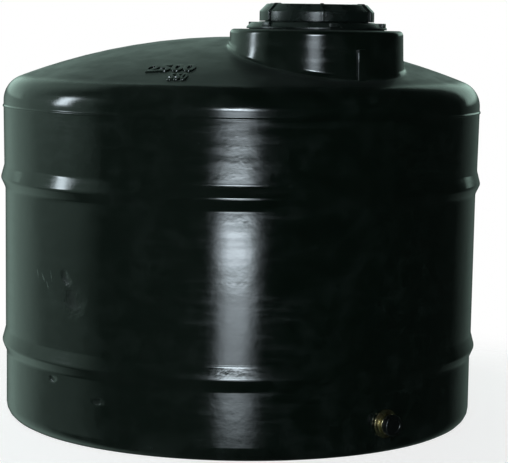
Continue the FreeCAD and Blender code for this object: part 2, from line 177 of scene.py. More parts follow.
class ManwaySizes(bpy.types.PropertyGroup):
    segments: number("Segments", 192, "Faces round the ring and the lid")
    thread_segments: number("Thread segments", 144, "Faces in one turn of the thread")
    ring_radius: length("Ring radius", 0.230, "Radius of the neck ring")
    ring_thickness: length("Ring thickness", 0.020, "Thickness of the neck ring")
    ring_edge: length("Ring edge", 0.006, "Height of the ring's upright edge")
    ring_bevel: length("Ring bevel", 0.016, "Width of the ring's bevel")
    neck_wall: length("Neck wall", 0.007, "Thickness of the neck")
    neck_rise: length("Neck rise", 0.050, "Height of the neck over the ring's underside")
    pads: number("Pads", 6, "Screw pads round the ring")
    pad_turn: bearing("Pad turn", 7.0, "First pad's turn from the front")
    pad_width: length("Pad width", 0.034, "Width of a screw pad")
    pad_length: length("Pad length", 0.032, "Length of a screw pad from the ring's edge inwards")
    pad_inset: length("Pad inset", 0.0004, "How far a pad lies in from the ring's edge")
    pad_rise: length("Pad rise", 0.0015, "How far a pad stands over the ring")
    pad_round: length("Pad round", 0.0022, "Rounding of a pad's edges")
    recess: length("Recess radius", 0.0085, "Radius of the screw's recess in a pad")
    recess_depth: length("Recess depth", 0.0045, "Depth of the screw's recess")
    screw: length("Screw radius", 0.0062, "Radius of a screw's head")
    pitch: length("Thread pitch", 0.009, "Rise of the neck's thread in one turn")
    turns: number("Thread turns", 2, "Turns of the neck's thread")
    thread: length("Thread depth", 0.0032, "Depth of the neck's thread")
    lid_wall: length("Lid wall", 0.006, "Thickness of the lid's skirt")
    lid_plate: length("Lid plate", 0.0054, "Thickness of the lid's top")
    lid_radius: length("Lid radius", 0.188, "Radius of the lid's skirt")
    lid_bevel: length("Lid bevel", 0.024, "Bevel round the lid's top")
    groove_radius: length("Groove radius", 0.12408, "Inner radius of the ring sunk in the lid's top")
    groove_width: length("Groove width", 0.006, "Width of the sunk ring's floor")
    groove_slope: length("Groove slope", 0.003, "Run of the sunk ring's sides")
    groove_depth: length("Groove depth", 0.0022, "Depth of the sunk ring")
    sealing_rib: length("Sealing rib", 0.0112, "Width of the rib that presses on the lid's seal")
    step_rise: length("Step rise", 0.0038, "Height of the ring's raised step under the lid")
    step_run: length("Step run", 0.004, "How far the step's sloping edge runs out from the lid")
    grips: number("Grips", 6, "Grip ribs round the lid")
    grip_turn: bearing("Grip turn", -1.6, "First grip's turn from the front")
    grip_width: length("Grip width", 0.011, "Width of a grip rib")
    grip_depth: length("Grip depth", 0.0058, "How far a grip rib stands out from the skirt")
    grip_rise: length("Grip rise", 0.0025, "How far a grip rib stands over the lid's top")
    grip_run: length("Grip run", 0.020, "How far a grip rib runs in from the bevel")
    grip_lift: length("Grip lift", 0.0005, "How far a grip rib ends over the skirt's foot")
    grip_round: length("Grip round", 0.0022, "Rounding of a grip rib's edges")


class OutletSizes(bpy.types.PropertyGroup):
    segments: number("Segments", 96, "Faces round the pad and the union")
    play: length("Play", 0.0001, "Play between the outlet's parts")
    pad_radius: length("Pad radius", 0.052, "Radius of the flat moulded round the outlet")
    pad_depth: length("Pad depth", 0.0025, "How far the flat stands out from the wall")
    pad_spread: length("Pad spread", 0.004, "How much wider the flat is where it meets the wall")
    pad_root: length("Pad root", 0.010, "How deep the flat's side reaches into the wall")
    seal: length("Seal thickness", 0.004, "Thickness of the rubber seal")
    flange_radius: length("Flange radius", 0.046, "Radius of the flange")
    flange: length("Flange thickness", 0.006, "Thickness of the flange")
    hub_radius: length("Hub radius", 0.033, "Radius of the hub")
    hub_length: length("Hub length", 0.016, "Length of the hub")
    notches: number("Notches", 4, "Notches for a spanner in the flange's rim")
    notch_radius: length("Notch radius", 0.0042, "Radius of a notch")
    notch_out: length("Notch offset", 0.0015, "How far outside the rim a notch has its centre")
    pipe_radius: length("Pipe radius", 0.029, "Radius of the pipe over its thread")
    pipe_bore: length("Pipe bore", 0.022, "Radius of the pipe's bore")
    pipe_inside: length("Pipe inside", 0.042, "How far the pipe reaches into the tank")
    pipe_outside: length("Pipe outside", 0.044, "How far the pipe stands out")
    pitch: length("Pipe thread pitch", 0.0023, "Rise of the pipe's thread in one turn")
    thread: length("Pipe thread depth", 0.0009, "Depth of the pipe's thread")
    thread_end: length("Pipe thread end", 0.0015, "Plain length at each end of the pipe")
    plug_radius: length("Plug radius", 0.035, "Radius of the plug over its ribs")
    plug_length: length("Plug length", 0.022, "Length of the plug")
    plug_top: length("Plug top", 0.006, "Thickness of the plug's end")
    plug_gap: length("Plug gap", 0.0003, "Play between the plug's end and the pipe")
    dish_radius: length("Dish radius", 0.024, "Radius of the hollow in the plug's end")
    dish_depth: length("Dish depth", 0.0015, "Depth of the hollow in the plug's end")
    plug_ribs: number("Plug ribs", 30, "Grip ribs round the plug", 0)
    rib_height: length("Plug rib height", 0.0012, "How far a grip rib stands out from the plug")
    rib_radius: length("Plug rib radius", 0.0013, "Radius of a grip rib")
    rib_length: length("Plug rib length", 0.015, "Length of a grip rib")
    rib_middle: length("Plug rib middle", 0.0095, "How far a grip rib's middle lies from the plug's mouth")
    rib_sunk: length("Plug rib sunk", 0.0002, "How far a grip rib's axis lies inside the plug")
    rib_round: length("Plug rib round", 0.0005, "Rounding of a grip rib's ends")


class TankColours(bpy.types.PropertyGroup):
    moulding: tint("Moulding", (0.0022, 0.0048, 0.0030), "Colour of the moulded polyethylene")
    dust: tint("Dust", (0.16, 0.19, 0.17), "Colour of the dust and light scuffs")
    bruise: tint("Bruise", (0.0012, 0.0015, 0.0012), "Colour of the dark dents in the wall")
    fittings: tint("Fittings", (0.0045, 0.0075, 0.0062), "Colour of the neck ring and lid")
    plug: tint("Plug", (0.0030, 0.0034, 0.0034), "Colour of the outlet's plug")
    rubber: tint("Rubber", (0.010, 0.010, 0.011), "Colour of the seals")
    brass: tint("Brass", (0.58, 0.49, 0.28), "Colour of the outlet's metal")
    tarnish: tint("Tarnish", (0.15, 0.12, 0.065), "Colour of the dull patches on the metal")
    steel: tint("Screws", (0.16, 0.16, 0.17), "Colour of the neck ring's screws")
    grime: tint("Screw grime", (0.05, 0.05, 0.05), "Colour of the dull patches on the screws")
    floor: tint("Floor", (0.36, 0.37, 0.37), "Colour of the floor where light falls on it")
    floor_grain: tint("Floor grain", (0.34, 0.35, 0.35), "Colour of the floor's darker grain")
    panels: tint("Light panels", (0.80, 0.92, 1.0), "Colour of the light that the panels give")
    room: tint("Room", (0.70, 1.0, 0.88), "Colour of the room that the gloss mirrors")


def sizes():
    return bpy.context.scene.water_tank_sizes


def colours():
    return bpy.context.scene.water_tank_colours


# Modelling by hand


def clear():
    """Leave edit mode and deselect everything."""
    if bpy.context.mode != "OBJECT":
        bpy.ops.object.mode_set(mode="OBJECT")
    bpy.ops.object.select_all(action="DESELECT")


def named(name):
    """Give the active object and its mesh a name."""
    piece = bpy.context.active_object
    piece.name = name
    piece.data.name = name
    return piece


def pick(piece):
    """Make one piece the only selected one."""
    clear()
    piece.select_set(True)
    bpy.context.view_layer.objects.active = piece


def edit(piece):
    pick(piece)
    bpy.ops.object.mode_set(mode="EDIT")


def select_whole():
    """In edit mode, select all of the piece."""
    bpy.ops.mesh.select_all(action="SELECT")


def merge_doubles(reach):
    """In edit mode, merge the vertices that lie within a reach of each other, and leave all selected."""
    select_whole()
    bpy.ops.mesh.remove_doubles(threshold=reach)
    select_whole()


def settle(piece):
    """Put a piece's place into its mesh."""
    pick(piece)
    bpy.ops.object.transform_apply(location=True, rotation=True, scale=True)
    return piece


def apply(piece, kind, **settings):
    """Give a piece a modifier and apply it."""
    pick(piece)
    modifier = piece.modifiers.new(kind.title(), kind)
    for key, value in settings.items():
        setattr(modifier, key, value)
    bpy.ops.object.modifier_apply(modifier=modifier.name)


def join(name, *pieces):
    """Make several pieces one."""
    clear()
    for piece in pieces:
        piece.select_set(True)
    bpy.context.view_layer.objects.active = pieces[0]
    if len(pieces) > 1:
        bpy.ops.object.join()
    return named(name)


def select_where(piece, kind, test):
    """In edit mode, select only the verts or edges that pass the test."""
    bpy.ops.mesh.select_mode(type={"verts": "VERT", "edges": "EDGE"}[kind])
    bpy.ops.mesh.select_all(action="DESELECT")
    mesh = bmesh.from_edit_mesh(piece.data)
    for part in getattr(mesh, kind):
        part.select_set(bool(test(part)))
    mesh.select_flush_mode()
    bmesh.update_edit_mesh(piece.data)


def reshape(piece, rule):
    """Move each vertex of a piece to where the rule puts it."""
    edit(piece)
    for vertex in bmesh.from_edit_mesh(piece.data).verts:
        vertex.co = rule(vertex.co)
    bmesh.update_edit_mesh(piece.data)
    clear()
    return piece


def tidy_faces(piece, angle=35.0):
    """Merge doubles, turn the faces outwards and shade smooth up to an angle in degrees."""
    edit(piece)
    merge_doubles(CLOSE)
    bpy.ops.mesh.normals_make_consistent(inside=False)
    pick(piece)
    bpy.ops.object.shade_smooth_by_angle(angle=math.radians(angle))
    return piece


def round_edges(piece, width, segments, angle=40.0):
    """Bevel the edges of a piece that are sharper than an angle in degrees."""
    apply(
        piece, "BEVEL", width=width, segments=segments, limit_method="ANGLE", angle_limit=math.radians(angle),
    )


def cut_away(piece, cutter):
    """Cut one piece out of another and drop it."""
    apply(piece, "BOOLEAN", operation="DIFFERENCE", solver="EXACT", object=cutter)
    bpy.data.objects.remove(cutter)


def block(name, size, place):
    """A plain block to be worked on further."""
    clear()
    bpy.ops.mesh.primitive_cube_add(size=1, location=place)
    piece = named(name)
    piece.scale = size
    return settle(piece)


def rod(name, radius, height, place, sides=40):
    """A plain round bar to be worked on further."""
    clear()
    bpy.ops.mesh.primitive_cylinder_add(vertices=sides, radius=radius, depth=height, location=place)
    return settle(named(name))


def turn_from_front(piece, turn, centre, angle=35.0):
    """Turn a piece that was made towards +X so that it lies that far round from the front."""
    edit(piece)
    select_whole()
    bpy.ops.transform.rotate(value=TURN / 4 - turn, orient_axis="Z", center_override=centre)
    return tidy_faces(piece, angle)


def copies_round(piece, centre, count):
    """Copy a piece evenly round an upright axis, each copy with its own mesh."""
    made = [piece]
    for index in range(1, count):
        pick(piece)
        bpy.ops.object.duplicate(linked=False)
        copy = bpy.context.active_object
        bpy.ops.transform.rotate(value=-TURN * index / count, orient_axis="Z", center_override=centre)
        made.append(settle(copy))
    return made


def rounded(corners, steps=5, hold=0.0):
    """Outline through corners of (across, up, radius), with arcs at the corners.

    With a hold, a point is added that far outside each end of an arc, so that straight stretches stay flat.
    """
    points = []
    for index, (across, up, radius) in enumerate(corners):
        here = Vector((across, up))
        if radius <= 0 or index in (0, len(corners) - 1):
            points.append(here)
            continue
        back = (Vector(corners[index - 1][:2]) - here).normalized()
        ahead = (Vector(corners[index + 1][:2]) - here).normalized()
        half = back.angle(ahead) / 2
        reach = radius / math.tan(half)
        centre = here + (back + ahead).normalized() * (radius / math.sin(half))
        begin = here + back * reach - centre
        sweep = begin.angle_signed(here + ahead * reach - centre)
        arc = [centre + Matrix.Rotation(-sweep * step / steps, 2) @ begin for step in range(steps + 1)]
        if hold:
            arc = [here + back * (reach + hold), *arc, here + ahead * (reach + hold)]
        points += arc
    return points


def draw_outline(name, points, centre, closed):
    """Draw an outline beside an upright axis, point after point, from one vertex."""
    clear()
    bpy.ops.mesh.primitive_plane_add(size=0.01, location=ORIGIN)
    piece = named(name)
    edit(piece)
    bpy.ops.mesh.select_mode(type="VERT")
    select_whole()
    bpy.ops.mesh.merge(type="CENTER")
    start = Vector((centre.x + points[0].x, centre.y, centre.z + points[0].y))
    bpy.ops.transform.translate(value=start)
    trail = points + points[:1] if closed else points
    for before, after in zip(trail, trail[1:]):
        step = (after.x - before.x, 0, after.y - before.y)
        bpy.ops.mesh.extrude_region_move(TRANSFORM_OT_translate={"value": step})
    merge_doubles(VERY_CLOSE)
    return piece


def spun(name, points, segments, centre=ORIGIN, closed=True):
    """Spin an outline of (across, up) points round an upright axis through the centre."""
    piece = draw_outline(name, points, centre, closed)
    bpy.ops.mesh.spin(steps=segments, angle=TURN, center=centre, axis=(0, 0, 1))
    merge_doubles(CLOSE)
    clear()
    return piece


def lathe(name, corners, segments, centre=ORIGIN, closed=True, steps=5):
    """Spin an outline given by its corners, each with its rounding."""
    return spun(name, rounded(corners, steps), segments, centre, closed)


def thread(name, centre, radius, pitch, turns, depth, segments):
    """A screw thread's ridge wound up an upright cylinder, or with a depth under zero, inside a bore."""
    root = radius - depth * 0.4
    crest = radius + depth
    profile = ((root, 0.0), (crest, 0.17), (crest, 0.38), (root, 0.55))
    points = [Vector((across, pitch * share)) for across, share in profile]
    piece = draw_outline(name, points, ORIGIN, True)
    apply(
        piece, "SCREW", angle=TURN, screw_offset=pitch, iterations=turns,
        steps=segments, render_steps=segments,
    )
    bpy.ops.transform.translate(value=centre)
    settle(piece)
    edit(piece)
    select_whole()
    bpy.ops.mesh.fill_holes(sides=4)
    return tidy_faces(piece)


def dress(piece, material):
    """Give a piece its one material."""
    piece.data.materials.clear()
    piece.data.materials.append(material)


def finish_piece(piece, body, slot, material, *replaced):
    """Dress a finished piece, let it ride on its body and hide the CAD nodes that it replaces; the slot is
    not used.
    """
    dress(piece, material)
    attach(piece, body)
    if replaced:
        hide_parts(*replaced)


# Moulded tank


def dome_curve():
    """Radius of the dome's outside and the height of its centre."""
    size = sizes()
    radius = (size.crest_radius ** 2 + size.dome_rise ** 2) / (2 * size.dome_rise)
    return radius, size.crest + size.dome_rise - radius


def dome_height(x, y, inset=0.0):
    """Height of the dome's outside over a point, or of its inside."""
    radius, base = dome_curve()
    return base + math.sqrt((radius - inset) ** 2 - x * x - y * y)


def shoulder_curve():
    """Centre of the shoulder's rounding and where it runs into the dome."""
    size = sizes()
    radius, base = dome_curve()
    across = size.parting_radius - size.shoulder_round
    up = base + math.sqrt((radius - size.shoulder_round) ** 2 - across ** 2)
    return Vector((across, up)), across * radius / (radius - size.shoulder_round)


def shell_outline(inset):
    """Outline of the moulding's outside, or of its inside, from under the middle up to the dome's edge."""
    size = sizes()
    crest_round = size.rib_crest_round - inset
    foot_round = size.rib_foot_round + inset
    parting = size.parting_radius - inset
    corners = [(0, inset, 0), (size.under_lower - inset, inset, size.base_corner - inset)]
    ribs = (
        (size.under_lower, size.over_lower, size.lower_rib),
        (size.under_upper, size.over_upper, size.upper_rib),
    )
    for below, above, height in ribs:
        corners += [
            (below - inset, height - size.rib_under, foot_round),
            (above + size.rib_depth - inset, height, crest_round),
            (above - inset, height + size.rib_over, foot_round),
        ]
    if not inset:
        ridge = size.parting_radius + size.ridge_depth
        corners += [
            (parting, size.parting_height, 0.0008),
            (ridge, size.parting_height + 0.0004, 0.0012),
            (ridge, size.parting_height + size.ridge_height / 2, 0.002),
        ]
    centre, edge = shoulder_curve()
    corners += [(parting, size.parting_height + size.ridge_height, 0.004), (parting, centre.y, 0)]
    points = rounded(corners, hold=0.0015)
    last = math.acos((edge - centre.x) / size.shoulder_round)
    steps = 16
    for step in range(1, steps + 1):
        angle = last * step / steps
        points.append(centre + (size.shoulder_round - inset) * Vector((math.cos(angle), math.sin(angle))))
    return points


def manway():
    """Centre of the manway on the ground plane and the height of the drum's top."""
    gasket = middle("neck_gasket")
    return Vector((gasket.x, gasket.y, 0)), under("neck_gasket")


def drum_rings(inset):
    """Rules for the rings from the dome's edge in to the drum and up to the way in.

    A rule takes the place on the dome's edge that a ring's point came from and its direction from the manway.
    """
    size = sizes()
    centre, head = manway()
    fillet = size.drum_foot_round + inset
    edge = size.drum_round - inset
    edge_radius = size.drum_radius - size.drum_round
    quarter = TURN / 4

    def drum_wall(height):
        return size.drum_radius - inset + size.drum_flare * (head - height) / size.drum_depth

    foot = drum_wall(head - size.drum_foot_drop)

    def dome_ring(share):
        def place(start, away):
            point = start.lerp(centre + away * (foot + fillet), share)
            return Vector((point.x, point.y, dome_height(point.x, point.y, inset)))
        return place

    def fillet_ring(angle):
        def place(start, away):
            point = centre + away * (foot + fillet * (1 - math.sin(angle)))
            rise = fillet * (1 - math.cos(angle))
            return Vector((point.x, point.y, dome_height(point.x, point.y, inset) + rise))
        return place

    def wall_ring(share):
        """The wall has its own slope from a quarter of its height."""
        settled = min(1.0, share / 0.25)

        def place(start, away):
            low = centre + away * foot
            bottom = dome_height(low.x, low.y, inset) + fillet
            height = bottom + (head - size.drum_round - bottom) * share
            reach = foot + (drum_wall(height) - foot) * settled
            return centre + away * reach + Vector((0, 0, height))
        return place

    def ring(radius, height):
        def place(start, away):
            return centre + away * radius + Vector((0, 0, height))
        return place

    dome_shares = (0.02, 0.06, 0.12, 0.2, 0.3, 0.4, 0.5, 0.6, 0.7, 0.78, 0.85, 0.91, 0.96, 1.0)
    wall_shares = (0.06, 0.25, 0.45, 0.65, 0.85, 0.97, 1.0)
    rings = [dome_ring(share) for share in dome_shares]
    rings += [fillet_ring(quarter * step / 7) for step in range(1, 8)]
    rings += [wall_ring(share) for share in wall_shares]
    for step in range(1, 7):
        angle = quarter * step / 6
        height = head - size.drum_round + edge * math.sin(angle)
        rings.append(ring(edge_radius + edge * math.cos(angle), height))
    past_edge = edge_radius - 0.004
    halfway = 0.21
    rings += [ring(radius, head - inset) for radius in (past_edge, halfway, size.neck_bore)]
    return rings


def moulding_skin(name, inset):
    """One skin of the moulding: a spun wall, then rings grown from its rim over the dome and up the drum."""
    centre, _ = manway()
    piece = spun(name, shell_outline(inset), sizes().segments, closed=False)
    edit(piece)
    rim = max(vertex.co.z for vertex in bmesh.from_edit_mesh(piece.data).verts)
    select_where(piece, "verts", lambda vertex: vertex.co.z > rim - CLOSE)

    def heading(place):
        return math.atan2(place.y - centre.y, place.x - centre.x)

    def picked():
        """The selected vertices in the order in which they stand round the manway."""
        chosen = [vertex for vertex in bmesh.from_edit_mesh(piece.data).verts if vertex.select]
        return sorted(chosen, key=lambda vertex: heading(vertex.co))

    starts = [vertex.co.copy() for vertex in picked()]
    aways = [Vector((start.x - centre.x, start.y - centre.y, 0)).normalized() for start in starts]
    for place in drum_rings(inset):
        bpy.ops.mesh.extrude_region_move()
        for vertex, start, away in zip(picked(), starts, aways):
            vertex.co = place(start, away)
        bmesh.update_edit_mesh(piece.data)
    clear()
    return piece


class WATERTANK_OT_moulding(bpy.types.Operator):
    """Make the one-piece moulding: floor, ribbed wall, rolled shoulder, dome and manway drum"""

    bl_idname = "water_tank.moulding"
    bl_label = "Moulded Tank"

    def execute(self, context):
        outside = moulding_skin("skin_outside", 0.0)
        inside = moulding_skin("skin_inside", sizes().skin)
        piece = join("tank_moulding", outside, inside)
        edit(piece)
        select_where(piece, "edges", lambda edge: edge.is_boundary)
        bpy.ops.mesh.bridge_edge_loops()
        tidy_faces(piece, angle=40.0)
        walls = [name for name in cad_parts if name.startswith("wall_")]
        finish_piece(
            piece, "tank", "polyethylene", moulded_finish(),
            *walls, "tank_floor", "shoulder", "dome", "manway_drum",
        )
        return {"FINISHED"}


class WATERTANK_OT_drum_strip(bpy.types.Operator):
    """Make the upright strip moulded on the drum's front right"""

    bl_idname = "water_tank.drum_strip"
    bl_label = "Drum Strip"

    def execute(self, context):
        size = sizes()
        trim = context.scene.water_tank_trim
        centre, head = manway()
        upper_end = head - trim.strip_drop
        reach = size.drum_radius + trim.strip_proud - trim.strip_depth / 2
        place = centre + Vector((reach, 0, upper_end - trim.strip_length / 2))
        piece = block("drum_strip", (trim.strip_depth, trim.strip_width, trim.strip_length), place)
        round_edges(piece, trim.strip_round, segments=4)
        slope = size.drum_flare / size.drum_depth
        reshape(piece, lambda point: point + Vector((slope * (upper_end - point.z), 0, 0)))
        turn_from_front(piece, trim.strip_turn, centre, angle=60.0)
        finish_piece(piece, "tank", "polyethylene", moulded_finish())
        return {"FINISHED"}


class WATERTANK_OT_capacity_figures(bpy.types.Operator):
    """Raise plain figures for the capacity on the dome, in litres over gallons"""

    bl_idname = "water_tank.capacity_figures"
    bl_label = "Capacity Figures"

    def execute(self, context):
        trim = context.scene.water_tank_trim
        litres = self.row(trim, "2500", trim.litres_spot, trim.litres_height, 1.0)
        gallons = self.row(trim, "550", trim.gallons_spot, trim.gallons_height, trim.gallons_narrowing)
        piece = tidy_faces(join("capacity_figures", litres, gallons), angle=50.0)
        finish_piece(piece, "tank", "polyethylene", moulded_finish())
        return {"FINISHED"}

    def row(self, trim, words, place, height, width):
        """One row of figures, laid on the dome."""
        clear()
        bpy.ops.object.text_add(location=ORIGIN)
        text = bpy.context.active_object.data
        text.body = words
        text.size = height
        text.align_x = "CENTER"
        text.align_y = "CENTER"
        text.extrude = trim.figure_rise
        text.bevel_depth = trim.figure_edge
        text.bevel_resolution = 2
        text.offset = trim.figure_weight
        bpy.ops.object.convert(target="MESH")
        turned = Matrix.Rotation(trim.figure_turn, 2)
        middle_of_row = Vector(place)

        def lay(point):
            flat = turned @ Vector((point.x * width, point.y)) + middle_of_row
            return Vector((flat.x, flat.y, dome_height(flat.x, flat.y) + point.z))

        return reshape(bpy.context.active_object, lay)


# Manway


def on_manway(rise, out=0.0):
    """A place at a height over the neck ring's underside, on the manway's axis or out from it towards +X."""
    centre, _ = manway()
    return centre + Vector((out, 0, under("neck_ring") + rise))


class WATERTANK_OT_neck(bpy.types.Operator):
    """Make the screwed-down neck ring with its pads, its screws and its threaded neck"""

    bl_idname = "water_tank.neck"
    bl_label = "Neck Ring"

    def execute(self, context):
        size = context.scene.water_tank_manway
        bore = sizes().neck_bore
        outside = bore + size.neck_wall
        step = size.ring_thickness + size.step_rise
        ring = lathe("manway_neck", [
            (bore, size.ring_edge, 0), (bore, 0, 0.0006), (size.ring_radius, 0, 0.0008),
            (size.ring_radius, size.ring_edge, 0.0015),
            (size.ring_radius - size.ring_bevel, size.ring_thickness, 0.0030),
            (size.lid_radius + size.step_run, size.ring_thickness, 0.0015),
            (size.lid_radius, step, 0.0015), (outside, step, 0.0020), (outside, size.neck_rise, 0.0015),
            (bore, size.neck_rise, 0.0010), (bore, size.ring_thickness, 0),
        ], size.segments, on_manway(0), steps=4)
        tidy_faces(ring)
        start = on_manway(step + size.pitch / 2)
        ridge = thread(
            "neck_thread", start, outside, size.pitch, size.turns, size.thread, size.thread_segments,
        )
        pads = copies_round(self.pad(size), on_manway(0), size.pads)
        piece = join("manway_neck", ring, ridge, *pads)
        finish_piece(piece, "tank", "lid_plastic", fitting_finish(), "neck_ring")
        screws = join("neck_screws", *copies_round(self.screw(size), on_manway(0), size.pads))
        finish_piece(screws, "tank", "lid_plastic", screw_finish())
        return {"FINISHED"}

    def pad(self, size):
        """One screw pad with the recess that its screw sits in."""
        head = size.ring_thickness + size.pad_rise
        out = size.ring_radius - size.pad_length / 2
        place = on_manway((size.ring_edge + head) / 2, out - size.pad_inset)
        pad = block("pad", (size.pad_length, size.pad_width, head - size.ring_edge), place)
        round_edges(pad, size.pad_round, segments=3)
        cut_away(pad, rod("recess", size.recess, 2 * size.recess_depth, on_manway(head, out)))
        return turn_from_front(pad, size.pad_turn, on_manway(0))

    def screw(self, size):
        """One pan-headed screw with a cross slot, down in its recess."""
        radius = size.screw
        floor = size.ring_thickness + size.pad_rise - size.recess_depth
        out = size.ring_radius - size.pad_length / 2
        screw = lathe("neck_screws", [
            (0, 0, 0), (radius, 0, 0.0003), (radius, 0.0022, 0.0012),
            (radius / 2, 0.0034, 0.004), (0, 0.0037, 0),
        ], segments=32, centre=on_manway(floor, out), closed=False, steps=4)
        tidy_faces(screw)
        slot_width = 0.0013
        slot_height = 0.0026
        slot_middle = 0.0036
        for across, along in ((radius, slot_width), (slot_width, radius)):
            cut_away(screw, block("slot", (across, along, slot_height), on_manway(floor + slot_middle, out)))
        return turn_from_front(screw, size.pad_turn, on_manway(0))


class WATERTANK_OT_lid(bpy.types.Operator):
    """Make the screw lid with its bevelled rim, wrapped grip ribs and inside thread"""

    bl_idname = "water_tank.lid"
    bl_label = "Screw Lid"

    def execute(self, context):
        size = context.scene.water_tank_manway
        base = under("neck_ring")
        head = top("lid") - base - size.grip_rise
        foot = under("lid") - base
        seat = top("lid_seal") - base
        radius = size.lid_radius
        inside = radius - size.lid_wall
        neck = sizes().neck_bore + size.neck_wall
        mouth = neck - size.sealing_rib
        plate = head - size.lid_plate
        slope = head - size.lid_bevel + radius - size.lid_wall * math.sqrt(2)
        groove = size.groove_radius
        groove_edge = groove + size.groove_width
        sunk = head - size.groove_depth
        cover = lathe("screw_lid", [
            (0, head, 0), (groove / 2, head, 0), (groove - size.groove_slope, head, 0.0015),
            (groove, sunk, 0.0015), (groove_edge, sunk, 0.0015),
            (groove_edge + size.groove_slope, head, 0.0015),
            (radius - size.lid_bevel, head, 0.008), (radius, head - size.lid_bevel, 0.008),
            (radius, foot, 0.0015), (inside, foot, 0.0010),
            (inside, slope - inside, 0.003), (neck, slope - neck, 0.002), (neck, seat, 0.0004),
            (mouth, seat, 0.0008), (mouth, plate, 0.001), (0, plate, 0),
        ], size.segments, on_manway(0), closed=False)
        tidy_faces(cover)
        start = on_manway(foot + size.pitch / 4)
        ridge = thread(
            "lid_thread", start, inside, size.pitch, size.turns, -size.thread, size.thread_segments,
        )
        grips = copies_round(self.grip(size, head, foot), on_manway(0), size.grips)
        piece = join("screw_lid", cover, ridge, *grips)
        finish_piece(piece, "lid", "lid_plastic", fitting_finish(), "lid")
        return {"FINISHED"}

    def grip(self, size, head, foot):
        """One narrow rib up the skirt, over the bevel and a little way in on the top."""
        radius = size.lid_radius
        bevel = size.lid_bevel
        sunk = size.lid_wall / 3
        foot += size.grip_lift
        outer = radius + size.grip_depth
        upper = head + size.grip_rise
        end = radius - bevel - size.grip_run
        trail = [
            (radius - sunk, foot), (outer, foot), (outer, head - bevel),
            (outer - bevel - size.grip_rise, upper), (end, upper), (end, head - sunk),
            (radius - bevel, head - sunk), (radius - sunk, head - bevel),
        ]
        side = on_manway(0) + Vector((0, -size.grip_width / 2, 0))
        rib = draw_outline("grip", [Vector(point) for point in trail], side, True)
        bpy.ops.mesh.edge_face_add()
        bpy.ops.mesh.extrude_region_move(TRANSFORM_OT_translate={"value": (0, size.grip_width, 0)})
        select_whole()
        bpy.ops.mesh.normals_make_consistent(inside=False)
        clear()
        round_edges(rib, size.grip_round, segments=3, angle=25.0)
        return turn_from_front(rib, size.grip_turn, on_manway(0))


# Outlet


def lay_outwards(piece):
    """Lay a piece made upright at the origin along the outlet's axis, its foot on the pad's face."""
    flange = middle("outlet_flange")
    outward = Vector((flange.x, flange.y, 0)).normalized()
    side = Vector((-outward.y, outward.x, 0))
    reach = sizes().under_lower + bpy.context.scene.water_tank_outlet.pad_depth

    def lay(point):
        return outward * (reach + point.z) + side * point.x + Vector((0, 0, flange.z + point.y))

    return tidy_faces(reshape(piece, lay))


